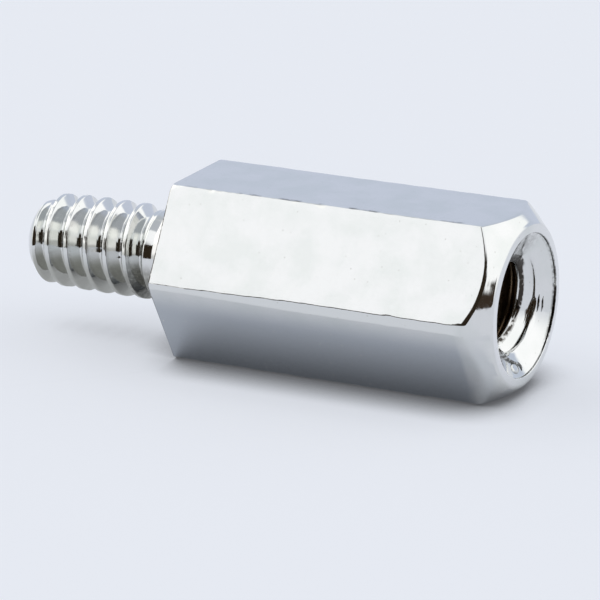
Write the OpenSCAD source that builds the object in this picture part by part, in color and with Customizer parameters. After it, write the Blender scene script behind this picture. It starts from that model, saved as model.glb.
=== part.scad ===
// Male-female hex standoff, turned from one length of hex bar.
// Lengths are in millimetres. It lies on a flat, with the stud towards -X and the tapped end towards +X.

/* [Hex body] */
// Width across the flats of the hex bar
across_flats = 6.35; // [5.5:0.05:9]
// Radius along the six long corners of the bar
corner_r = 0.25; // [0.1:0.05:0.5]
// Length of the hex body, from the shoulder to the tapped end face
body_l = 12.7; // [11.5:0.1:40]
// Diameter of the flat face left at the tapped end
end_face_d = 5.6; // [5.2:0.05:6.2]
// Slope of the tapped end's chamfer, measured from the end face
end_chamfer_angle = 45; // [25:1:60]
// Diameter of the flat shoulder round the stud
shoulder_face_d = 7.05; // [6:0.05:7.2]
// Slope of the shoulder's corner break, measured from the shoulder
shoulder_break_angle = 45; // [25:1:60]

/* [Stud] */
// Major diameter of the stud's thread
stud_d = 3.4; // [3.2:0.05:4.5]
// Length of the stud, from the shoulder to its tip
stud_l = 6.2; // [4:0.1:12]
// Diameter of the flat tip
tip_d = 2.35; // [1.8:0.05:2.6]
// Slope of the tip's lead-in chamfer, measured from the tip's face
tip_chamfer_angle = 45; // [30:1:60]
// Diameter of the plain neck beside the shoulder
neck_d = 3.05; // [2.4:0.05:3.05]
// Width of the plain neck
neck_w = 1.1; // [0.4:0.1:2]

/* [Tapped hole] */
// Minor diameter of the hole's thread
bore_d = 2.8; // [2.2:0.05:3.6]
// Depth of the hole's straight wall, from the tapped end face
bore_depth = 9.8; // [4:0.1:10]
// Included angle of the drill point at the bottom of the hole
drill_point_angle = 118; // [90:1:140]
// Diameter of the countersink at the end face
mouth_d = 4.95; // [4:0.05:5.1]
// Included angle of the countersink
mouth_angle = 120; // [82:1:130]

/* [Hidden] */
nickel = [0.80, 0.80, 0.78];
// Smoothness of the turned surfaces
$fn = 120;
// How far a cutting shape runs past the face it cuts
run_past = 1;
// Half the angle between neighbouring flats
half_step = 30;
// Straight pieces in the rounding of each long corner
corner_steps = 8;
// Distance from the axis to the centre of a corner's rounding, and to the rounded corner itself
corner_centre = (across_flats / 2 - corner_r) / cos(half_step);
corner_reach = corner_centre + corner_r;
// Radius that clears the corners
clear_r = corner_reach + run_past;
// The body is centred along X together with the stud
total_l = stud_l + body_l;
tip_x = -total_l / 2;
shoulder_x = tip_x + stud_l;
end_x = total_l / 2;
tip_chamfer_l = (stud_d - tip_d) / 2 * tan(tip_chamfer_angle);
drill_point_l = bore_d / 2 / tan(drill_point_angle / 2);
mouth_l = (mouth_d - bore_d) / 2 / tan(mouth_angle / 2);

// Distance along the axis that a chamfer takes to climb from a face's radius to a wider one
function chamfer_l(face_d, wide_r, slope) = (wide_r - face_d / 2) * tan(slope);

// One point of the bar's section, seen along the axis: step k of the rounding between flat n and the next one
function corner_point(n, k) =
    let (middle = (2 * n + 1) * half_step, turn = 2 * half_step * (n + k / corner_steps))
    [
        corner_centre * cos(middle) + corner_r * cos(turn),
        corner_centre * sin(middle) + corner_r * sin(turn)
    ];

// Turns a shape built along +Z so that it runs along +X at the height of the part's axis, with a flat underneath
module along_axis(start_x) {
    translate([start_x, 0, across_flats / 2])
        rotate([0, 90, 0])
            children();
}

// The drawn bar: six flats with a rounding along each long corner
module hex_bar() {
    linear_extrude(height = body_l)
        polygon([for (n = [0:5]) for (k = [0:corner_steps]) corner_point(n, k)]);
}

// What the lathe tool leaves of the bar: a chamfer at the tapped end and a corner break at the shoulder
module turned_ends() {
    shoulder_break_l = chamfer_l(shoulder_face_d, clear_r, shoulder_break_angle);
    end_chamfer_l = chamfer_l(end_face_d, clear_r, end_chamfer_angle);
    rotate_extrude()
        polygon([
            [0, 0],
            [shoulder_face_d / 2, 0],
            [clear_r, shoulder_break_l],
            [clear_r, body_l - end_chamfer_l],
            [end_face_d / 2, body_l],
            [0, body_l]
        ]);
}

// The stud: flat tip, lead-in chamfer, the length that carries the thread, and the plain neck
module stud() {
    rotate_extrude()
        polygon([
            [0, 0],
            [tip_d / 2, 0],
            [stud_d / 2, tip_chamfer_l],
            [stud_d / 2, stud_l - neck_w],
            [neck_d / 2, stud_l - neck_w],
            [neck_d / 2, stud_l + run_past],
            [0, stud_l + run_past]
        ]);
}

// The hole: countersunk mouth, straight wall and drill point, with the mouth at the top
module tapped_hole() {
    mouth_past_r = mouth_d / 2 + run_past * tan(mouth_angle / 2);
    rotate_extrude()
        polygon([
            [0, -bore_depth - drill_point_l],
            [bore_d / 2, -bore_depth],
            [bore_d / 2, -mouth_l],
            [mouth_past_r, run_past],
            [0, run_past]
        ]);
}

module standoff() {
    color(nickel)
        difference() {
            union() {
                along_axis(shoulder_x)
                    intersection() {
                        hex_bar();
                        turned_ends();
                    }
                along_axis(tip_x) stud();
            }
            along_axis(end_x) tapped_hole();
        }
}

standoff();
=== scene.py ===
import math

import bmesh
import bpy
from mathutils import Matrix, Vector, noise


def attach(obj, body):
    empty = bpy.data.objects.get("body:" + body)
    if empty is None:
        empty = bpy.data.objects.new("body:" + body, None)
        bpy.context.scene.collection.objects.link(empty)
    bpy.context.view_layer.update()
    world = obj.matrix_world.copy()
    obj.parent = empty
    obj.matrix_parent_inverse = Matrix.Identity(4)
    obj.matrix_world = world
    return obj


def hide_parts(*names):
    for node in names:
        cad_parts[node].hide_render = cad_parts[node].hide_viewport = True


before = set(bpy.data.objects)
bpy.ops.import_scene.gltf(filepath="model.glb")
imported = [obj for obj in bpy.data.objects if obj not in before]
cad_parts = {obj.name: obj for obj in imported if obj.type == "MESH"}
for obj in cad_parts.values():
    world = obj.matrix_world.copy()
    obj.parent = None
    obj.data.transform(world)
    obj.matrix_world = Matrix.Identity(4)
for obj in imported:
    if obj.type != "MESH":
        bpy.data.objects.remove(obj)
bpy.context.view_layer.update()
print("frame loaded")

scene = bpy.context.scene
scene.view_settings.view_transform = "Standard"

millimetre = 0.001  # the shape below is worked out in millimetres
fullTurn = 360.0
betweenCorners = 60.0  # degrees from one long corner of the bar to the next


# The hex bar: its corners, and what the lathe took off its two ends.
hexBar = {
    "acrossFlats": 6.35,
    # distance from the axis to the worn strip along each long corner, at the shoulder and at the
    # tapped end; corner 0 is towards +Y, and corner 3 towards -Y
    "cornerDistances": (
        (3.62, 3.61),
        (3.635, 3.6),
        (3.66, 3.66),
        (3.612, 3.574),
        (3.62, 3.625),
        (3.625, 3.63),
    ),
    "wearChangesFrom": -2.0,
    "wearChangesTo": 3.0,
    "cornerCrown": 3.5,  # radius of a strip's slight crown
    "crownedWithin": 0.3,
    "cornerSoftness": 0.004,
    "softerAtEnd": 0.03,  # how much softer the long corners get where they reach the chamfer
    "softerFrom": 1.05,  # this far from the end face
    "softerTo": 0.8,
    "cornerUnevenness": 0.012,
    "cornerShade": (0.5, 0.5, 0.9, 0.12, 0.4, 0.4),  # painted shade: the broken dark line along one edge of each strip
    "shoulderX": -3.25,
    "endX": 9.45,
    "shoulderFaceRadius": 3.6,
    "shoulderEdge": 0.03,
    "shoulderRim": 0.1,  # a ring of points this far inside the shoulder's edge
    "endFaceRadius": 2.8,
    "endFaceUnevenness": 0.012,
    "endChamferAngle": 45.0,  # measured from the end face
    "chamferSetFrom": 1.0,  # the chamfer meets the bar as wide as it is this far from the end face
    "chamferRounding": 0.2,  # where the chamfer meets a flat
    "lowerRounding": 0.4,  # how much more on the lower flats
    "faceRounding": 0.35,  # where the chamfer meets the end face
    "roundedCorner": 3,  # the long corner whose end is worn round
    "roundedFrom": 8.2,
    "roundedTo": 8.8,
    "roundedBy": 0.35,
    "roundedWithin": (2.0, 14.0),  # degrees from that corner
    "roundedShare": 0.35,  # its share of the rounding on the lower flats
    "flatSteps": 15,
    "closerAtCorners": 0.4,
    # columns of points across a strip, out from its middle, in half widths of the strip
    "stripColumns": (0.0, 0.5, 0.8, 1.0, 1.2, 1.5, 2.0),
    "closeColumns": [n / 12 for n in range(16)] + [1.4, 1.8],
    "closePast": 0.036,  # the close ones are for a strip whose distance changes by more than this
    "rows": 120,  # of points along the bar
    "firstRow": 0.15,  # how far the rows start from the shoulder's corner break
    "breakRow": 0.03,
    "evenShading": 60,
}

# Knocks along the long corners: which corner, place along the axis, half length, depth. Each is deepest
# over its middle fifth.
knocks = (
    (2, -2.2, 0.2, 0.004),
    (2, -0.05, 0.14, 0.004),
    (2, 2.5, 0.12, 0.004),
    (2, 4.6, 0.14, 0.003),
    (3, -1.0, 0.16, 0.008),
    (3, 1.23, 0.07, 0.008),
    (3, 1.95, 0.06, 0.01),
    (3, 2.8, 0.1, 0.006),
    (3, 4.1, 0.07, 0.01),
    (3, 5.9, 0.16, 0.009),
)

# The rolled thread of the stud, a right-hand one.
studThread = {
    "pitch": 0.79375,
    "crestRadius": 1.7,
    "depth": 0.48,
    "crestX": -8.64,  # where a crest passes the top of the stud
    "crestAngle": 90.0,
    "crestHalf": 0.085,  # half widths, as shares of the pitch
    "rootHalf": 0.07,
    "crestSoftness": 0.03,
    "rootSoftness": 0.2,
    "unevenness": 0.012,
    "fineUnevenness": 0.009,
    "roughTo": -8.5,  # twice as uneven from the tip to here
    "smoothFrom": -6.5,
    "firstTurnsLess": 0.07,  # how much lower the thread is at the tip
    "fullHeightFrom": -7.0,
    "tipX": -9.45,
    "tipRadius": 1.175,
    "tipEdge": 0.07,
    "tipRings": (0.35, 0.8),
    "leadInSoftness": 0.06,
    "neckRadius": 1.525,
    "runoutFrom": -5.0,  # the crest drops to the neck's radius
    "runoutTo": -4.85,
    "runoutSoftness": 0.03,
    "grooveFadesFrom": -4.86,
    "grooveFadesTo": -4.6,
    "rowsPastGroove": 0.06,
    "neckNarrowestX": -4.28,
    "neckFlare": 0.06,  # how much wider the neck gets towards the thread
    "neckRounding": 0.3,
    "neckConeRadius": 1.6,  # at the shoulder
    "neckFillet": 0.09,
    "rows": (0, 0.04, 0.07, 0.085, 0.1, 0.13, 0.2, 0.28, 0.35, 0.385, 0.415, 0.445, 0.475),
}

# The tapped hole, with its countersink and the drill's point at the bottom.
tappedHole = {
    "pitch": 0.79375,
    "crestRadius": 1.38,
    "depth": 0.45,
    "rootX": 8.888,  # where a root passes the far side of the hole
    "rootAngle": 0.0,
    "rootHalf": 0.07,
    "crestHalf": 0.06,
    "rootSoftness": 0.16,
    "crestSoftness": 0.05,
    "crestTilt": 0.4,  # slope across the crest
    "tiltWithin": (0.05, 0.1),  # turns from the crest's middle
    "mouthRadius": 2.5,
    "mouthHalfAngle": 60.0,
    "mouthSoftness": 0.04,
    "lipDepth": 0.09,
    "lipNarrowing": 0.004,
    "lipRounding": 0.03,
    "lipFillet": 0.02,
    "plainMouth": 0.14,  # the thread's rows start this deep
    "threadTo": 1.45,  # the tap stopped here
    "threadFades": 0.6,
    "rowsPastThread": 0.1,
    "bottomX": -0.35,
    "bottomRounding": 0.05,
    "drillHalfAngle": 59.0,
    "drillRings": (0.6, 0.85),  # shares of the drill point's length
    "rows": (0, 0.04, 0.08, 0.12, 0.2, 0.3, 0.4, 0.44, 0.47),
}

axisHeight = hexBar["acrossFlats"] / 2
sharpReach = axisHeight / math.cos(math.radians(betweenCorners / 2))  # to a corner with no wear
sideHeights = (-0.35, 0.1)  # where the lower side ends and the upper one starts, over the radius


def softMin(a, b, width):
    blend = max(width - abs(a - b), 0.0) / width
    return min(a, b) - blend * blend * width / 4


def softMax(a, b, width):
    return -softMin(-a, -b, width)


def easeBetween(value, start, end):
    share = min(max((value - start) / (end - start), 0.0), 1.0)
    return share * share * (3 - 2 * share)


def upperSide(angle):
    # 1 on the upper side of the part, 0 on the lower side
    return easeBetween(math.sin(math.radians(angle)), *sideHeights)


def cornerStrip(x, corner):
    # distance from the axis to a corner's worn strip at this place
    first, last = hexBar["cornerDistances"][corner]
    strip = first + (last - first) * easeBetween(x, hexBar["wearChangesFrom"], hexBar["wearChangesTo"])
    # long waves, and shorter ones half as deep
    strip -= hexBar["cornerUnevenness"] * noise.noise(Vector((x * 1.9, corner * 7.3, 0.0)))
    strip -= 0.5 * hexBar["cornerUnevenness"] * noise.noise(Vector((x * 5.0, corner * 3.1, 4.0)))
    if corner == hexBar["roundedCorner"]:
        strip -= hexBar["roundedBy"] * max(min(x, hexBar["roundedTo"]) - hexBar["roundedFrom"], 0.0) ** 2
    for place, middle, half, depth in knocks:
        if place == corner:
            strip -= depth * (1 - easeBetween(abs(x - middle), 0.2 * half, half))
    return strip


def barRadius(x, angle):
    # distance from the axis to the bar's surface, along one direction
    b = hexBar
    corner = round(angle / betweenCorners)
    fromCorner = math.radians(angle - betweenCorners * corner)
    flat = axisHeight / math.cos(math.radians(betweenCorners / 2) - abs(fromCorner))
    strip = cornerStrip(x, corner % 6)
    across = min(abs(strip * math.tan(fromCorner)), b["crownedWithin"])
    worn = strip / math.cos(fromCorner) - across**2 / (2 * b["cornerCrown"])
    softer = b["softerAtEnd"] * easeBetween(x, b["endX"] - b["softerFrom"], b["endX"] - b["softerTo"])
    return softMin(flat, worn, b["cornerSoftness"] + softer)


def stripHalfWidth(distance):
    return (sharpReach - distance) * math.tan(math.radians(betweenCorners))


def barAngles():
    # close together across the corners' strips, wider apart across the flats
    found = []
    sides = []
    for corner, (first, last) in enumerate(hexBar["cornerDistances"]):
        wide = math.degrees(stripHalfWidth(min(first, last)) / sharpReach)
        changes = abs(first - last) > hexBar["closePast"]
        steps = hexBar["closeColumns" if changes else "stripColumns"]
        for step in steps:
            for side in (-1, 1) if step else (1,):
                found.append((betweenCorners * corner + side * wide * step) % fullTurn)
        sides.append(wide * steps[-1])
    closer = hexBar["closerAtCorners"]
    for corner, side in enumerate(sides):
        start = betweenCorners * corner + side
        end = betweenCorners * (corner + 1) - sides[(corner + 1) % 6]
        for step in range(1, hexBar["flatSteps"]):
            share = 2.0 * step / hexBar["flatSteps"] - 1.0
            graded = (1 - closer) * share + closer * math.sin(share * math.pi / 2)
            found.append((start + end) / 2 + (end - start) / 2 * graded)
    return sorted(found)


angles = barAngles()
columns = len(angles)


def threadShare(turns, flatHalf, farHalf, softness, farSoftness):
    # 0 on the crest or root that the turns count from, 1 on the opposite one, straight flanks between
    away = abs((turns + 0.5) % 1.0 - 0.5)
    share = (away - flatHalf) / (0.5 - farHalf - flatHalf)
    if share <= -softness:
        return 0.0
    if share < softness:
        return (share + softness) ** 2 / (4 * softness)
    if share <= 1 - farSoftness:
        return share
    if share < 1 + farSoftness:
        return 1 - (1 + farSoftness - share) ** 2 / (4 * farSoftness)
    return 1.0


def neckRadius(x):
    # narrowest a little way from the thread, then a slow cone to the shoulder
    t = studThread
    away = x - t["neckNarrowestX"]
    if away < 0:
        return t["neckRadius"] + t["neckFlare"] * min(away / (t["runoutTo"] - t["neckNarrowestX"]), 1.0)
    share = away / (hexBar["shoulderX"] - t["neckNarrowestX"])
    return t["neckRadius"] + (t["neckConeRadius"] - t["neckRadius"]) * share


def studTurns(x, angle):
    t = studThread
    return (x - t["crestX"]) / t["pitch"] - (angle - t["crestAngle"]) / fullTurn


def studShare(x, angle):
    t = studThread
    turns = studTurns(x, angle)
    return threadShare(turns, t["crestHalf"], t["rootHalf"], t["crestSoftness"], t["rootSoftness"])


def studRadius(x, angle):
    t = studThread
    share = studShare(x, angle)
    turn = math.radians(angle)
    around = Vector((x * 0.5, math.cos(turn) * 4.0, math.sin(turn) * 4.0))
    uneven = t["unevenness"] * noise.noise(around)
    rougher = 1 - easeBetween(x, t["roughTo"], t["smoothFrom"])
    fine = noise.noise(Vector((x * 2.5, around.y * 2.0, around.z * 2.0)))
    uneven += t["fineUnevenness"] * (1 + rougher) * fine
    # the first turns are lower, each crest and root level across its own width
    crestX = x - ((studTurns(x, angle) + 0.5) % 1.0 - 0.5) * t["pitch"]
    rootX = x - (studTurns(x, angle) % 1.0 - 0.5) * t["pitch"]
    atCrest, atRoot = (t["firstTurnsLess"] * (1 - easeBetween(place, t["tipX"], t["fullHeightFrom"]))
                       for place in (crestX, rootX))
    lower = atCrest + (atRoot - atCrest) * share
    threaded = t["crestRadius"] - lower - t["depth"] * share + uneven
    leadIn = t["tipRadius"] + (x - t["tipX"])
    radius = softMin(threaded, leadIn, t["leadInSoftness"])
    crestDrop = (t["crestRadius"] - t["neckRadius"]) * easeBetween(x, t["runoutFrom"], t["runoutTo"])
    radius = softMin(radius, t["crestRadius"] - crestDrop + uneven, t["runoutSoftness"])
    grooved = 1 - easeBetween(x, t["grooveFadesFrom"], t["grooveFadesTo"])
    return softMax(radius, neckRadius(x) - t["depth"] * grooved, t["runoutSoftness"])


def countersinkRadius(x):
    t = tappedHole
    depth = hexBar["endX"] - t["lipDepth"] - x
    return t["mouthRadius"] - t["lipNarrowing"] - depth * math.tan(math.radians(t["mouthHalfAngle"]))


def holeRadius(x, angle):
    t = tappedHole
    turns = (x - t["rootX"]) / t["pitch"] - (angle - t["rootAngle"]) / fullTurn
    share = threadShare(turns, t["rootHalf"], t["crestHalf"], t["rootSoftness"], t["crestSoftness"])
    acrossCrest = turns % 1.0 - 0.5
    tilt = t["crestTilt"] * acrossCrest * t["pitch"] * (1 - easeBetween(abs(acrossCrest), *t["tiltWithin"]))
    threaded = t["crestRadius"] + t["depth"] * (1 - share) + tilt
    fade = easeBetween(x, t["threadTo"], t["threadTo"] + t["threadFades"])
    radius = t["crestRadius"] + (threaded - t["crestRadius"]) * fade
    return softMax(radius, countersinkRadius(x), t["mouthSoftness"])


class Skin:
    # gathers points and faces, ring by ring, and each point's place for its marks
    def __init__(self):
        self.points = []
        self.places = []
        self.faces = []

    def point(self, x, radius, angle):
        turn = math.radians(angle)
        self.points.append((x, radius * math.cos(turn), axisHeight + radius * math.sin(turn)))
        self.places.append((x, radius, angle))
        return len(self.points) - 1

    def extraPoint(self, place, grime):
        # a point off the turned surfaces, which carries its own mark
        self.points.append(tuple(place))
        self.places.append({"grime": grime})
        return len(self.points) - 1

    def ring(self, places):
        return [self.point(x, radius, angle) for (x, radius), angle in zip(places, angles)]

    def face(self, corners):
        kept = [c for n, c in enumerate(corners) if c != corners[n - 1]]
        if len(kept) > 2:
            self.faces.append(kept)

    def join(self, ringA, ringB):
        for j in range(columns):
            k = (j + 1) % columns
            self.face([ringA[j], ringA[k], ringB[k], ringB[j]])

    def tube(self, rings):
        # a closed body of its own, through rings with the same number of points
        sides = len(rings[0])
        for ringA, ringB in zip(rings, rings[1:]):
            for k in range(sides):
                self.face([ringA[k], ringA[(k + 1) % sides], ringB[(k + 1) % sides], ringB[k]])
        self.face(rings[0])
        self.face(rings[-1])

    def cap(self, ring, x):
        middle = self.point(x, 0.0, 0.0)
        for j in range(columns):
            self.face([ring[j], ring[(j + 1) % columns], middle])

    def helix(self, lowRing, highRing, xLow, xHigh, phaseX, phaseAngle, pitch, rows, radiusAt):
        # rows of points that run along the thread; where they pass either end, or come close to it,
        # they join its ring
        shares = list(rows) + [1.0 - s for s in reversed(rows) if s > 0]
        if 0.5 not in rows:
            shares.insert(len(rows), 0.5)
        perTurn = len(shares)
        snap = 0.25 * pitch / perTurn
        made = {}

        def at(i, j):
            turns = i // perTurn + shares[i % perTurn] + (angles[j] - phaseAngle) / fullTurn
            x = phaseX + pitch * turns
            if x <= xLow + snap:
                return lowRing[j]
            if x >= xHigh - snap:
                return highRing[j]
            if (i, j) not in made:
                made[i, j] = self.point(x, radiusAt(x, angles[j]), angles[j])
            return made[i, j]

        first = (math.floor((xLow - phaseX) / pitch) - 3) * perTurn
        last = (math.ceil((xHigh - phaseX) / pitch) + 3) * perTurn
        for i in range(first, last):
            for j in range(columns):
                nextI, nextJ = (i, j + 1) if j + 1 < columns else (i + perTurn, 0)
                self.face([at(i, j), at(nextI, nextJ), at(nextI + 1, nextJ), at(i + 1, j)])


def roundedPath(corners):
    # corners are (x, radius, rounding, steps); a rounding takes less than half of the sides beside it
    path = []
    for n, (x, r, rounding, steps) in enumerate(corners):
        here = Vector((x, r))
        if n in (0, len(corners) - 1) or rounding == 0:
            path.append((x, r))
            continue
        back = Vector(corners[n - 1][:2]) - here
        ahead = Vector(corners[n + 1][:2]) - here
        half = back.angle(ahead) / 2
        cut = min(rounding / math.tan(half), 0.45 * back.length, 0.45 * ahead.length)
        start = here + back.normalized() * cut
        end = here + ahead.normalized() * cut
        for step in range(steps + 1):
            s = step / steps
            # a curve through both ends, drawn towards the corner
            p = start * (1 - s) ** 2 + here * 2 * s * (1 - s) + end * s * s
            path.append((p.x, p.y))
    return path


def ringsAlong(skin, pathAt):
    # one ring for each point of the path, which may differ from angle to angle
    paths = [pathAt(angle) for angle in angles]
    return [skin.ring([path[n] for path in paths]) for n in range(len(paths[0]))]


def tipPath(angle):
    t = studThread
    x = t["tipX"]
    start = x + t["tipEdge"]
    return roundedPath([(x, radius, 0, 0) for radius in t["tipRings"]] + [
        (x, t["tipRadius"], t["tipEdge"], 4),
        (start, studRadius(start, angle), 0, 0),
    ])


def bodyPath(angle):
    b = hexBar
    t = studThread
    sx, ex = b["shoulderX"], b["endX"]
    e = b["shoulderEdge"]
    bar = barRadius(sx, angle)
    edgeRadius = min(bar, b["shoulderFaceRadius"])
    breakX = sx + (bar - edgeRadius) + e
    breakRow = breakX + b["breakRow"]
    rowsFrom = breakX + b["firstRow"]
    neckFrom = t["grooveFadesTo"] + t["rowsPastGroove"]
    before = roundedPath([
        (neckFrom, neckRadius(neckFrom), 0, 0),
        (t["neckNarrowestX"], t["neckRadius"], t["neckRounding"], 2),
        (sx, neckRadius(sx), t["neckFillet"], 6),
        (sx, edgeRadius - e - b["shoulderRim"], 0, 0),
        (sx, edgeRadius - e, e, 2),
        (breakX, bar, e, 2),
        (breakRow, barRadius(breakRow, angle), 0, 0),
        (rowsFrom, barRadius(rowsFrom, angle), 0, 0),
    ])
    slope = math.tan(math.radians(b["endChamferAngle"]))
    turn = math.radians(angle)
    uneven = noise.noise(Vector((math.cos(turn) * 4.0, math.sin(turn) * 4.0, 9.0)))
    faceRadius = b["endFaceRadius"] + b["endFaceUnevenness"] * uneven
    bar = barRadius(ex - b["chamferSetFrom"], angle)
    chamferX = ex - (bar - faceRadius) * slope
    atCorner = 1 - easeBetween(abs(angle - betweenCorners * b["roundedCorner"]), *b["roundedWithin"])
    more = b["lowerRounding"] * max(1 - upperSide(angle), b["roundedShare"] * atCorner)
    rowsTo = chamferX - b["chamferRounding"] - more
    along = [rowsFrom + (rowsTo - rowsFrom) * n / b["rows"] for n in range(1, b["rows"])]
    middle = [(x, barRadius(x, angle)) for x in along]
    m = tappedHole
    after = roundedPath([
        (rowsTo, barRadius(rowsTo, angle), 0, 0),
        (chamferX, bar, b["chamferRounding"] + more, 6),
        (ex, faceRadius, b["faceRounding"], 6),
        (ex, m["mouthRadius"], m["lipRounding"], 3),
        (ex - m["lipDepth"], m["mouthRadius"] - m["lipNarrowing"], m["lipFillet"], 3),
        (ex - m["plainMouth"], countersinkRadius(ex - m["plainMouth"]), 0, 0),
    ])
    return before + middle + after


def drillPointLength():
    return tappedHole["crestRadius"] / math.tan(math.radians(tappedHole["drillHalfAngle"]))


def bottomPath(angle):
    # the same all round, from the last of the thread to near the drill point's tip
    t = tappedHole
    r = t["crestRadius"]
    x = t["bottomX"]
    return roundedPath([
        (t["threadTo"] - t["rowsPastThread"], r, 0, 0),
        (x, r, t["bottomRounding"], 2),
    ] + [(x - drillPointLength() * share, r * (1 - share), 0, 0) for share in t["drillRings"]])


# What the countersink left in the hole's mouth: slivers of metal, as (radius, angle) along the cone,
# and a low drop of plating beside the longest.
burr = {
    "slivers": (
        {
            "thickness": 0.1,
            "path": (
                (1.66, -127.0), (1.74, -121.0), (1.84, -115.0), (1.93, -107.0),
                (2.03, -98.5), (2.1, -91.0), (2.22, -88.5), (2.36, -90.0),
            ),
        },
        {"thickness": 0.07, "path": ((1.94, -24.0), (1.96, -18.0), (1.95, -12.0), (1.96, -6.0))},
        {"thickness": 0.055, "path": ((2.1, -23.0), (2.12, -18.0), (2.1, -13.0), (2.12, -8.0))},
    ),
    "thinEnd": 0.25,  # a sliver's thickness at its ends, as a share
    "tallness": 1.6,  # its height over its thickness
    "sides": 8,
    "dropAt": (2.2, -101.0),
    "dropSize": (0.2, 0.32),  # half of it, along the cone and round it
    "dropHeight": 0.05,
    "dropLevels": 8,
    "dropSides": 20,
    # painted shade on the slivers, and round the drop's edge
    "grime": 0.8,
}


def conePlace(radius, angle):
    # a point of the countersink, and the directions along it, round it and out of it
    t = tappedHole
    slope = math.radians(t["mouthHalfAngle"])
    depth = t["lipDepth"] + (t["mouthRadius"] - t["lipNarrowing"] - radius) / math.tan(slope)
    turn = math.radians(angle)
    outward = Vector((0, math.cos(turn), math.sin(turn)))
    place = Vector((hexBar["endX"] - depth, 0, axisHeight)) + outward * radius
    along = Vector((math.cos(slope), 0, 0)) + outward * math.sin(slope)
    lift = Vector((math.sin(slope), 0, 0)) - outward * math.cos(slope)
    return place, along, lift.cross(along), lift


def turnsOf(sides):
    return [2 * math.pi * k / sides for k in range(sides)]


def makeSliver(skin, sliver):
    ways = [conePlace(*place) for place in sliver["path"]]
    thin = burr["thinEnd"]
    rings = []
    for n, (place, _, _, lift) in enumerate(ways):
        ahead = ways[min(n + 1, len(ways) - 1)][0] - ways[max(n - 1, 0)][0]
        across = ahead.cross(lift).normalized()
        share = n / (len(ways) - 1)
        size = sliver["thickness"] / 2 * (thin + (1 - thin) * math.sin(math.pi * share) ** 0.5)
        ring = []
        for turn in turnsOf(burr["sides"]):
            away = across * math.cos(turn) + burr["tallness"] * lift * math.sin(turn)
            # each sliver carries painted shade
            ring.append(skin.extraPoint(place + size * away, burr["grime"]))
        rings.append(ring)
    skin.tube(rings)


def makeDrop(skin):
    place, along, around, lift = conePlace(*burr["dropAt"])
    sizeAlong, sizeRound = burr["dropSize"]
    rings = []
    for level in range(1, burr["dropLevels"]):
        tilt = math.pi * level / burr["dropLevels"]
        reach = math.sin(tilt)
        middle = place + lift * burr["dropHeight"] * math.cos(tilt)
        ring = []
        for turn in turnsOf(burr["dropSides"]):
            away = along * sizeAlong * math.cos(turn) + around * sizeRound * math.sin(turn)
            # painted shade, darkest round the drop's widest ring
            ring.append(skin.extraPoint(middle + away * reach, burr["grime"] * reach**6))
        rings.append(ring)
    skin.tube(rings)


markNames = ("worn", "dullWithShade", "bareAndShade", "grime", "lowerShade", "turned")

# How the plating is marked, with its wear and where shade and sheen are painted on it. Pairs say where a
# mark starts to fade in
# or out and where that ends: in millimetres along the part, in degrees round it, and in turns down the
# hole's thread.
wearAndShade = {
    # the bar
    "barRadius": 2.9,  # past this radius a point is on the bar
    "stripEdge": (-0.02, 0.04),  # from the edge of a long corner's strip
    "nearChamfer": (1.2, 0.9),  # from the end face
    # the painted shade on the lower flats is this share weaker on the chamfer
    "chamferLessShade": 0.6,
    "chamferTurned": 0.6,
    "chamferEdge": (0.0, 0.03),  # how far below the bar's surface
    "shoulderLine": (0.03, 0.06),  # a painted shade line on the shoulder's edge, from the shoulder
    "shoulderLineInside": (3.0, 3.1),
    "shoulderLineShade": 0.3,
    "shoulderLineMoreShade": 1.3,  # on the upper front
    "shoulderLineMoreFrom": (125.0, 140.0),
    "shoulderLineMoreTo": (180.0, 200.0),
    "stripLine": (0.01, 0.025),  # the painted shade line along one edge of a strip, from that edge
    "stripLineBroken": (-0.1, 0.4),  # of the noise that breaks it up
    # the stud
    "studShade": (0.5, 1.1),  # painted shade under the stud, fading in over this span from the shoulder
    "tipTurned": (0.1, 0.2),
    "crestShade": 0.25,  # painted shade beside the crests, on the side towards the tip
    "crestShadeIn": (0.03, 0.1),  # shares of the way from crest to root
    "crestShadeOut": (0.2, 0.3),
    "crestShadeFromTip": 0.4,
    "underStudShade": 0.4,  # painted shade under the stud's last turns, beside the shoulder
    "underStudShadeX": (-5.8, -4.9),
    # the hole; its angles run from +Y, up to 180 and down to -180
    "holeUpper": (-60.0, -5.0),
    "holeTop": (30.0, 80.0),
    "bareFrom": 0.3,  # turns from the first root to where the plating thins and the painted shade starts, on the upper side
    "bareFromBelow": 0.55,
    "bareSoonerOnTop": 0.1,
    "bareOver": 0.08,
    "firstTurn": 0.9,
    "mouthEnds": (1.76, 1.86),  # past this radius the first turn's points are on the countersink
    "brightCrest": (0.045, 0.075),  # the first crest keeps its plating and stays out of the painted shade
    "brightCrestFrom": (-110.0, -90.0),
    "brightCrestTo": (100.0, 130.0),
    "flankShade": 5.0,  # painted shade on the flank before the first crest, on the upper side
    "flankOver": 0.04,
    "flankEnds": (0.42, 0.46),
    "crestLineShade": 1.4,  # a thin painted shade line along the first crest, on the lower side
    "lineIn": (0.35, 0.38),
    "lineOut": (0.43, 0.46),
    "rimWall": (0.01, 0.03),  # painted shade on the wall inside the end face's edge, on the far side
    "rimOver": 0.02,
    "rimFarAngle": -15.0,
    "rimFrom": (-55.0, -35.0),
    "rimLess": 0.4,
    "rimLessFrom": (0.0, 30.0),
    "coneShade": 0.45,  # painted shade high on the countersink
    "coneShadeOver": 0.1,
    "coneShadeEnds": (0.2, 0.3),
    "coneShadeFrom": (50.0, 75.0),
    "coneShadeTo": (150.0, 170.0),
    "endTurned": 0.6,  # tool rings on the countersink, and more on the end face, whose left and right also get a painted sheen
    "endTurnedDepth": (0.6, 0.9),
    "faceSheen": 0.4,
    "faceSheenDepth": (0.01, 0.03),
}


def fadeIn(value, name):
    return easeBetween(value, *wearAndShade[name])


def fadeOut(value, name):
    return 1 - fadeIn(value, name)


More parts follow.
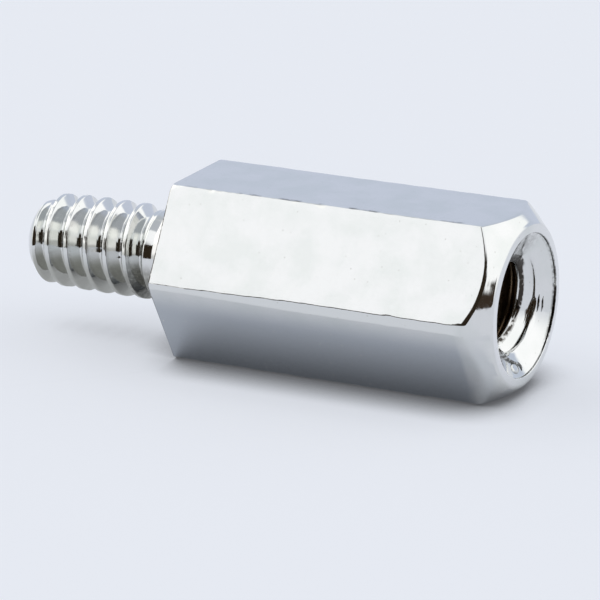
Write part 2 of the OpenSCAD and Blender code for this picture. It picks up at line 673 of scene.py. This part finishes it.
def barMarks(x, radius, angle):
    # worn along the long corners, painted shade on the lower flats and in the dark lines along the shoulder
    # and the strips, turned on the chamfer
    b = hexBar
    corner = round(angle / betweenCorners)
    across = abs(radius * math.sin(math.radians(angle - betweenCorners * corner)))
    half = stripHalfWidth(cornerStrip(x, corner % 6))
    atChamfer = easeBetween(x, *(b["endX"] - gap for gap in wearAndShade["nearChamfer"]))
    worn = fadeOut(across - half, "stripEdge") * (1 - atChamfer)
    # painted shade: the lower side is darker, as its flats reflect the shadowed floor
    lowerShade = (1 - upperSide(angle)) * (1 - worn) * (1 - wearAndShade["chamferLessShade"] * atChamfer)
    inFront = fadeIn(angle, "shoulderLineMoreFrom") * fadeOut(angle, "shoulderLineMoreTo")
    # painted shade along the shoulder's edge
    shoulderLine = fadeOut(abs(x - b["shoulderX"]), "shoulderLine") * fadeIn(radius, "shoulderLineInside")
    shoulderLine *= wearAndShade["shoulderLineShade"] + wearAndShade["shoulderLineMoreShade"] * inFront
    stripLine = 0.0
    # painted shade along one edge of each strip
    if angle < betweenCorners * corner:
        broken = fadeIn(noise.noise(Vector((x * 2.2, corner * 5.7, 2.0))), "stripLineBroken")
        nearEdge = fadeOut(abs(across - half), "stripLine")
        stripLine = b["cornerShade"][corner % 6] * broken * nearEdge * (1 - atChamfer)
    belowBar = barRadius(b["endX"] - b["chamferSetFrom"], angle) - radius
    turned = wearAndShade["chamferTurned"] * fadeIn(belowBar, "chamferEdge")
    return {"worn": worn, "lowerShade": lowerShade, "grime": max(shoulderLine, stripLine), "turned": turned}


def studMarks(x, angle):
    # painted shade underneath, a little rougher there, turned on the tip's face, painted shade beside the
    # crests and under the last turns
    t = studThread
    below = 1 - upperSide(angle)
    # painted shade under the last turns, beside the shoulder
    grime = wearAndShade["underStudShade"] * below * fadeIn(x, "underStudShadeX")
    # painted shade beside each crest
    towardsTip = (studTurns(x, angle) + 0.5) % 1.0 < 0.5
    if towardsTip and t["tipX"] + wearAndShade["crestShadeFromTip"] < x < t["runoutFrom"]:
        share = studShare(x, angle)
        besideCrest = fadeIn(share, "crestShadeIn") * fadeOut(share, "crestShadeOut")
        grime = max(grime, wearAndShade["crestShade"] * besideCrest)
    return {
        # painted shade on the stud's lower side
        "dullWithShade": below * fadeIn(abs(x - hexBar["shoulderX"]), "studShade"),
        "grime": grime,
        "turned": fadeOut(abs(x - t["tipX"]), "tipTurned"),
    }


def holeMarks(x, radius, angle):
    # bare brass darkened with painted shade where the plating thins, painted shade on the first flank, the
    # rim and the cone, turned at the mouth, with a painted sheen on the end face's left and right
    t = tappedHole
    depth = hexBar["endX"] - x
    signed = (angle + fullTurn / 2) % fullTurn - fullTurn / 2
    deep = (t["rootX"] - x) / t["pitch"] + signed / fullTurn  # turns in from the first root
    upper = fadeIn(signed, "holeUpper")
    start = wearAndShade["bareFromBelow"] + (wearAndShade["bareFrom"] - wearAndShade["bareFromBelow"]) * upper
    start -= wearAndShade["bareSoonerOnTop"] * fadeIn(signed, "holeTop")
    inside = fadeOut(radius, "mouthEnds") if deep < wearAndShade["firstTurn"] else 1.0
    # bare brass and painted shade deep in the hole
    bareAndShade = inside * easeBetween(deep, start, start + wearAndShade["bareOver"])
    crest = fadeOut(abs(deep - 0.5), "brightCrest") * fadeOut(signed, "brightCrestTo")
    bareAndShade *= 1 - crest * fadeIn(signed, "brightCrestFrom")
    # painted shade on the first flank, along the first crest and on the rim's wall
    flank = easeBetween(deep, start, start + wearAndShade["flankOver"]) * fadeOut(deep, "flankEnds") * upper
    line = fadeIn(deep, "lineIn") * fadeOut(deep, "lineOut") * (1 - upper)
    lip = t["lipDepth"]
    onWall = fadeOut(abs(radius - t["mouthRadius"] + t["lipNarrowing"] / 2), "rimWall")
    farSide = 0.5 + 0.5 * math.cos(math.radians(signed - wearAndShade["rimFarAngle"]))
    rim = onWall * (1 - easeBetween(depth, lip, lip + wearAndShade["rimOver"])) * farSide
    rim *= fadeIn(signed, "rimFrom") * (1 - wearAndShade["rimLess"] * fadeIn(signed, "rimLessFrom"))
    # painted shade high on the countersink
    onCone = easeBetween(depth, lip, lip + wearAndShade["coneShadeOver"]) * fadeOut(deep, "coneShadeEnds")
    shadedCone = onCone * fadeIn(signed, "coneShadeFrom") * fadeOut(signed, "coneShadeTo")
    # the end face gets a painted sheen at its left and right, where its tool rings also show more
    sideways = abs(math.cos(math.radians(angle)))
    turned = wearAndShade["endTurned"] * fadeOut(depth, "endTurnedDepth")
    turned += wearAndShade["faceSheen"] * sideways * fadeOut(depth, "faceSheenDepth")
    return {
        "bareAndShade": bareAndShade,
        "grime": max(wearAndShade["flankShade"] * flank * inside, wearAndShade["crestLineShade"] * line, rim,
                     wearAndShade["coneShade"] * shadedCone),
        "turned": turned,
    }


def marksAt(x, radius, angle):
    if radius > wearAndShade["barRadius"]:
        return barMarks(x, radius, angle)
    if x < hexBar["shoulderX"] + hexBar["shoulderEdge"]:
        return studMarks(x, angle)
    return holeMarks(x, radius, angle)


def makeStandoff():
    skin = Skin()
    tip = ringsAlong(skin, tipPath)
    body = ringsAlong(skin, bodyPath)
    bottom = ringsAlong(skin, bottomPath)
    skin.cap(tip[0], studThread["tipX"])
    skin.cap(bottom[-1], tappedHole["bottomX"] - drillPointLength())
    for rings in (tip, body, bottom):
        for ringA, ringB in zip(rings, rings[1:]):
            skin.join(ringA, ringB)
    s, h = studThread, tappedHole
    skin.helix(tip[-1], body[0], s["tipX"] + s["tipEdge"], s["grooveFadesTo"] + s["rowsPastGroove"],
               s["crestX"], s["crestAngle"], s["pitch"], s["rows"], studRadius)
    skin.helix(bottom[0], body[-1], h["threadTo"] - h["rowsPastThread"], hexBar["endX"] - h["plainMouth"],
               h["rootX"], h["rootAngle"], h["pitch"], h["rows"], holeRadius)
    for sliver in burr["slivers"]:
        makeSliver(skin, sliver)
    makeDrop(skin)
    mesh = bpy.data.meshes.new("standoffSkin")
    mesh.from_pydata([[c * millimetre for c in p] for p in skin.points], [], skin.faces)
    work = bmesh.new()
    work.from_mesh(mesh)
    bmesh.ops.recalc_face_normals(work, faces=work.faces)
    for face in work.faces:
        face.smooth = True
    work.to_mesh(mesh)
    work.free()
    marks = [place if isinstance(place, dict) else marksAt(*place) for place in skin.places]
    for name in markNames:
        attribute = mesh.attributes.new(name, "FLOAT", "POINT")
        attribute.data.foreach_set("value", [mark.get(name, 0.0) for mark in marks])
    piece = bpy.data.objects.new("nickelStandoff", mesh)
    scene.collection.objects.link(piece)
    normals = piece.modifiers.new("evenShading", "WEIGHTED_NORMAL")
    normals.mode = "FACE_AREA"
    normals.weight = hexBar["evenShading"]
    print("standoff made:", len(mesh.vertices), "points", len(mesh.polygons), "faces")
    return piece


def addNode(tree, kind, settings=None, inputs=None):
    node = tree.nodes.new(kind)
    for name, value in (settings or {}).items():
        setattr(node, name, value)
    for name, value in (inputs or {}).items():
        if hasattr(value, "is_output"):
            tree.links.new(value, node.inputs[name])
        else:
            node.inputs[name].default_value = value
    return node


def mixColours(tree, share, a, b):
    mix = addNode(tree, "ShaderNodeMix", {"data_type": "RGBA"}, {0: share})
    for socket, value in ((6, a), (7, b)):
        if hasattr(value, "is_output"):
            tree.links.new(value, mix.inputs[socket])
        else:
            mix.inputs[socket].default_value = (*value, 1)
    return mix.outputs[2]


# Bright nickel on brass. Colours are what a straight reflection keeps of the light.
nickel = {
    "colour": (0.74, 0.742, 0.735),
    "tintColour": (0.69, 0.705, 0.69),
    "wornColour": (0.725, 0.735, 0.725),
    # a lighter colour where the turned mark passes 0.6: the tip's face, and the end face's left and right,
    # where it is a painted sheen
    "endFaceColour": (0.82, 0.825, 0.83),
    # painted shade under the stud
    "studShadeColour": (0.46, 0.46, 0.425),
    # painted shade on the bar's lower side
    "lowerShadeColour": (0.447, 0.475, 0.51),
    # bare brass where the plating thins, darkened as painted shade deep in the hole
    "bareAndShadeColour": (0.17, 0.12, 0.075),
    # painted shade in the dark lines, creases and hollows
    "paintedShadeColour": (0.05, 0.043, 0.037),
    "speckColour": (0.6, 0.6, 0.58),
    "cloudScale": 0.9,
    "speckleScale": 7.0,
    "grainScale": 24.0,
    "speckScale": 2.8,
    "speckSize": (0.045, 0.09),
    "specksLeftOut": 0.2,  # share of the places that have none
    "ringScale": 9.0,
    "ringHeight": 5.0,
    "roughness": 0.075,
    "wornRoughness": 0.1,
    "threadRoughness": 0.085,
    "lowerShadeRoughness": 0.14,
    "bareAndShadeRoughness": 0.36,
    "bumpStrength": 0.1,
    "bumpDistance": 0.000006,  # in metres
}


def nickelPlate():
    material = bpy.data.materials.new("nickelPlate")
    material.use_nodes = True
    tree = material.node_tree
    shader = tree.nodes["Principled BSDF"]
    place = addNode(tree, "ShaderNodeTexCoord").outputs["Object"]
    inMillimetres = addNode(tree, "ShaderNodeVectorMath", {"operation": "SCALE"}, {
        0: place, "Scale": 1 / millimetre,
    }).outputs[0]

    def noiseOf(scale, detail, where=inMillimetres):
        inputs = {"Vector": where, "Scale": scale, "Detail": detail}
        return addNode(tree, "ShaderNodeTexNoise", None, inputs).outputs["Fac"]

    def marked(name):
        return addNode(tree, "ShaderNodeAttribute", {"attribute_name": name}).outputs["Fac"]

    def ranged(value, fromMin, fromMax, toMin, toMax):
        return addNode(tree, "ShaderNodeMapRange", None, {
            "Value": value, "From Min": fromMin, "From Max": fromMax, "To Min": toMin, "To Max": toMax,
        }).outputs["Result"]

    def maths(operation, first, second):
        return addNode(tree, "ShaderNodeMath", {"operation": operation}, {0: first, 1: second}).outputs[0]

    worn, dullWithShade, bareAndShade, grime, lowerShade, turned = (marked(name) for name in markNames)
    clouds = noiseOf(nickel["cloudScale"], 3.0)
    speckle = noiseOf(nickel["speckleScale"], 4.0)
    grain = noiseOf(nickel["grainScale"], 2.0)
    # small specks, one or none in each cell
    cells = addNode(tree, "ShaderNodeTexVoronoi", None, {
        "Vector": inMillimetres, "Scale": nickel["speckScale"],
    }).outputs
    chance = addNode(tree, "ShaderNodeSeparateXYZ", None, {0: cells["Color"]}).outputs["X"]
    picked = maths("GREATER_THAN", chance, nickel["specksLeftOut"])
    specks = maths("MULTIPLY", ranged(cells["Distance"], *nickel["speckSize"], 1.0, 0.0), picked)
    # rings that the lathe's tool left
    parts = addNode(tree, "ShaderNodeSeparateXYZ", None, {0: inMillimetres}).outputs
    above = maths("SUBTRACT", parts["Z"], axisHeight)
    squares = maths("ADD", maths("MULTIPLY", parts["Y"], parts["Y"]), maths("MULTIPLY", above, above))
    reach = maths("POWER", squares, 0.5)
    acrossRings = addNode(tree, "ShaderNodeCombineXYZ", None, {0: parts["X"], 1: reach}).outputs[0]
    rings = noiseOf(nickel["ringScale"], 3.0, acrossRings)

    colour = mixColours(tree, ranged(clouds, 0.4, 0.65, 0.0, 1.0), nickel["colour"], nickel["tintColour"])
    # painted shade on the lower side of the bar
    colour = mixColours(tree, lowerShade, colour, nickel["lowerShadeColour"])
    colour = mixColours(tree, worn, colour, nickel["wornColour"])
    # painted shade under the stud
    colour = mixColours(tree, dullWithShade, colour, nickel["studShadeColour"])
    # painted sheen on the end face's left and right, and the tip's face lighter
    endFace = ranged(turned, 0.6, 1.0, 0.0, 1.0)
    colour = mixColours(tree, endFace, colour, nickel["endFaceColour"])
    colour = mixColours(tree, specks, colour, nickel["speckColour"])
    # bare brass with painted shade deep in the hole
    colour = mixColours(tree, bareAndShade, colour, nickel["bareAndShadeColour"])
    # painted shade, broken up by noise
    shadedShare = maths("MULTIPLY", grime, ranged(speckle, 0.38, 0.52, 0.2, 1.0))
    colour = mixColours(tree, shadedShare, colour, nickel["paintedShadeColour"])
    tree.links.new(colour, shader.inputs["Base Color"])
    roughness = ranged(speckle, 0.3, 0.7, nickel["roughness"] - 0.03, nickel["roughness"] + 0.04)
    for share, target in ((worn, "worn"), (dullWithShade, "thread"), (lowerShade, "lowerShade"), (bareAndShade, "bareAndShade")):
        rough = nickel[target + "Roughness"]
        more = maths("MULTIPLY", share, ranged(speckle, 0.3, 0.7, 0.7 * rough, 1.2 * rough))
        roughness = maths("MAXIMUM", roughness, more)
    tree.links.new(roughness, shader.inputs["Roughness"])
    height = maths("ADD", maths("MULTIPLY", speckle, 0.5), maths("MULTIPLY", grain, 0.25))
    height = maths("MULTIPLY", height, maths("ADD", 0.5, maths("MULTIPLY", worn, 2.0)))
    height = maths("ADD", height, maths("MULTIPLY", maths("MULTIPLY", rings, turned), nickel["ringHeight"]))
    height = maths("SUBTRACT", height, maths("MULTIPLY", specks, 0.8))
    bump = addNode(tree, "ShaderNodeBump", None, {
        "Height": height, "Strength": nickel["bumpStrength"], "Distance": nickel["bumpDistance"],
    })
    tree.links.new(bump.outputs[0], shader.inputs["Normal"])
    shader.inputs["Metallic"].default_value = 1.0
    print("nickel plate mixed")
    return material


# The room: a pale tent, brightest on the left and right, with its front open towards a dim room.
# Azimuths run from -Y towards +X, like the lens's own; a patch fades out over its soft edge. leftOf and
# rightOf limit a patch by its direction's X share.
dimRoom = (0.03, 0.022, 0.014)
leftEdge = -0.467
studio = {
    "floorColour": (0.818, 0.846, 0.907),
    "backdropColour": (0.812, 0.838, 0.9),
    "tentColour": (0.6, 0.63, 0.68),
    "sideSoft": 0.008,  # how softly leftOf and rightOf cut a patch
    "patches": (
        # behind the object
        {"azimuth": 180.0, "half": 60.0, "high": 48.0, "soft": 20.0, "colour": (0.66, 0.72, 0.855)},
        # the right wall, its lower part, and the gap between it and the back
        {"azimuth": 115.0, "half": 51.0, "high": 65.0, "soft": 10.0, "colour": (1.3, 1.31, 1.32)},
        {"azimuth": 107.0, "half": 43.0, "high": 6.0, "soft": 12.0, "colour": (0.92, 0.95, 1.0)},
        {"azimuth": 162.0, "half": 12.0, "high": 17.0, "soft": 6.0, "colour": (0.66, 0.72, 0.855)},
        # above the opening
        {"azimuth": 10.0, "half": 60.0, "high": 70.0, "soft": 6.0, "colour": (1.22, 1.235, 1.26)},
        # the left wall, brightest high up and away from the opening, darkest towards the table
        {"azimuth": -87.0, "half": 47.0, "high": 60.0, "soft": 8.0, "colour": (1.32, 1.31, 1.29)},
        {"azimuth": -87.0, "half": 47.0, "high": 60.0, "soft": 8.0, "leftOf": leftEdge,
         "colour": (1.6, 1.59, 1.56)},
        {"azimuth": -80.0, "half": 55.0, "high": 33.5, "soft": 2.0, "leftOf": leftEdge,
         "colour": (1.3, 1.29, 1.27)},
        {"azimuth": -80.0, "half": 55.0, "high": 9.0, "soft": 12.0, "leftOf": leftEdge,
         "colour": (0.75, 0.75, 0.74)},
        # the open front, high and low, and its right end
        {"azimuth": 17.0, "half": 37.0, "high": 50.0, "soft": 6.0, "colour": dimRoom},
        {"azimuth": 14.75, "half": 52.75, "high": 33.0, "soft": 2.0, "rightOf": leftEdge, "colour": dimRoom},
        {"azimuth": 80.0, "half": 7.0, "high": 20.0, "soft": 4.0, "colour": dimRoom},
        {"azimuth": 72.0, "half": 13.0, "high": 14.0, "soft": 5.0, "colour": (0.05, 0.035, 0.025)},
    ),
    "floorHalf": 3.0,  # in metres, like the next
    "floorBelow": 0.00001,
    "floorOwnLight": 0.6,  # share of the floor's tone that no shadow takes away
    "contactReach": 2.1,  # how far round the object the floor's colour and glow are darkened, a painted contact shade
    "contactOpen": (0.25, 0.82),  # how open the floor is where it is darkest, and where it is full tone
    # the darkest tone of that painted contact shade
    "contactTone": 0.21,
    "cameraTarget": (0.81, 0.0, 2.186),
    "cameraAzimuth": 26.944,
    "cameraElevation": 17.572,
    "cameraRoll": -0.348,
    "cameraDistance": 139.656,
    "lens": 240.0,
}


def makeCamera():
    azimuth = math.radians(studio["cameraAzimuth"])
    elevation = math.radians(studio["cameraElevation"])
    roll = math.radians(studio["cameraRoll"])
    back = Vector((
        math.sin(azimuth) * math.cos(elevation),
        -math.cos(azimuth) * math.cos(elevation),
        math.sin(elevation),
    ))
    level = Vector((0, 0, 1)).cross(back).normalized()
    up = back.cross(level)
    right = level * math.cos(roll) + up * math.sin(roll)
    up = back.cross(right)
    place = Vector(studio["cameraTarget"]) + back * studio["cameraDistance"]
    data = bpy.data.cameras.new("camera")
    data.sensor_width = 36.0
    data.lens = studio["lens"]
    data.clip_start = 0.01
    camera = bpy.data.objects.new("camera", data)
    turned = Matrix((right, up, back)).transposed().to_4x4()
    camera.matrix_world = Matrix.Translation(place * millimetre) @ turned
    scene.collection.objects.link(camera)
    scene.camera = camera
    print("camera placed")


def makeFloor():
    half = studio["floorHalf"]
    mesh = bpy.data.meshes.new("floor")
    corners = [(x * half, y * half, -studio["floorBelow"]) for x, y in ((-1, -1), (1, -1), (1, 1), (-1, 1))]
    mesh.from_pydata(corners, [], [(0, 1, 2, 3)])
    floor = bpy.data.objects.new("floor", mesh)
    scene.collection.objects.link(floor)
    material = bpy.data.materials.new("palePaper")
    material.use_nodes = True
    tree = material.node_tree
    shader = tree.nodes["Principled BSDF"]
    # painted contact shade: an occlusion node darkens the floor's colour and glow near the object
    near = addNode(tree, "ShaderNodeAmbientOcclusion", {"samples": 8}, {
        "Distance": studio["contactReach"] * millimetre,
    })
    closed, opened = studio["contactOpen"]
    tone = addNode(tree, "ShaderNodeMapRange", None, {
        "Value": near.outputs["AO"], "From Min": closed, "From Max": opened, "To Min": studio["contactTone"],
    }).outputs["Result"]
    ownLight = studio["floorOwnLight"]
    paper = [c * (1 - ownLight) for c in studio["floorColour"]]
    tree.links.new(mixColours(tree, tone, (0.0, 0.0, 0.0), paper), shader.inputs["Base Color"])
    glow = mixColours(tree, tone, (0.0, 0.0, 0.0), studio["floorColour"])
    tree.links.new(glow, shader.inputs["Emission Color"])
    path = addNode(tree, "ShaderNodeLightPath").outputs
    seen = addNode(tree, "ShaderNodeMath", {"operation": "MAXIMUM"}, {
        0: path["Is Camera Ray"], 1: path["Is Glossy Ray"],
    })
    strength = addNode(tree, "ShaderNodeMath", {"operation": "MULTIPLY"}, {0: seen.outputs[0], 1: ownLight})
    tree.links.new(strength.outputs[0], shader.inputs["Emission Strength"])
    shader.inputs["Roughness"].default_value = 1.0
    shader.inputs["Specular IOR Level"].default_value = 0.0
    mesh.materials.append(material)
    print("floor laid")


def makeWorld():
    world = bpy.data.worlds.new("tent")
    scene.world = world
    world.use_nodes = True
    tree = world.node_tree
    tree.nodes.clear()
    direction = addNode(tree, "ShaderNodeTexCoord").outputs["Generated"]

    def maths(operation, first, second=None, third=None):
        inputs = {n: v for n, v in enumerate((first, second, third)) if v is not None}
        return addNode(tree, "ShaderNodeMath", {"operation": operation}, inputs).outputs[0]

    def fade(value, start, end):
        return addNode(tree, "ShaderNodeMapRange", {"interpolation_type": "SMOOTHSTEP"}, {
            "Value": value, "From Min": start, "From Max": end,
        }).outputs["Result"]

    parts = addNode(tree, "ShaderNodeSeparateXYZ", None, {0: direction}).outputs
    azimuth = maths("ARCTAN2", parts["X"], maths("MULTIPLY", parts["Y"], -1.0))
    elevation = maths("ARCSINE", parts["Z"])
    tent = studio["tentColour"]
    for patch in studio["patches"]:
        soft = math.radians(patch["soft"]) / 2
        half, high = (math.radians(patch[name]) for name in ("half", "high"))
        away = maths("SUBTRACT", azimuth, math.radians(patch["azimuth"]))
        away = maths("ABSOLUTE", maths("WRAP", away, math.pi, -math.pi))
        beside = fade(away, half + soft, half - soft)
        share = maths("MULTIPLY", beside, fade(elevation, high + soft, high - soft))
        for name, side in (("leftOf", -studio["sideSoft"]), ("rightOf", studio["sideSoft"])):
            if name in patch:
                within = fade(parts["X"], patch[name] - side, patch[name] + side)
                share = maths("MULTIPLY", share, within)
        tent = mixColours(tree, share, tent, patch["colour"])
    seen = addNode(tree, "ShaderNodeLightPath")
    light = addNode(tree, "ShaderNodeBackground", None, {"Color": tent})
    backdrop = addNode(tree, "ShaderNodeBackground", None, {"Color": (*studio["backdropColour"], 1)})
    both = addNode(tree, "ShaderNodeMixShader", None, {
        0: seen.outputs["Is Camera Ray"], 1: light.outputs[0], 2: backdrop.outputs[0],
    })
    addNode(tree, "ShaderNodeOutputWorld", None, {"Surface": both.outputs[0]})
    print("tent lit")


makeCamera()
makeWorld()
makeFloor()
piece = makeStandoff()
piece.data.materials.append(nickelPlate())
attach(piece, "root")
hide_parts("standoff")
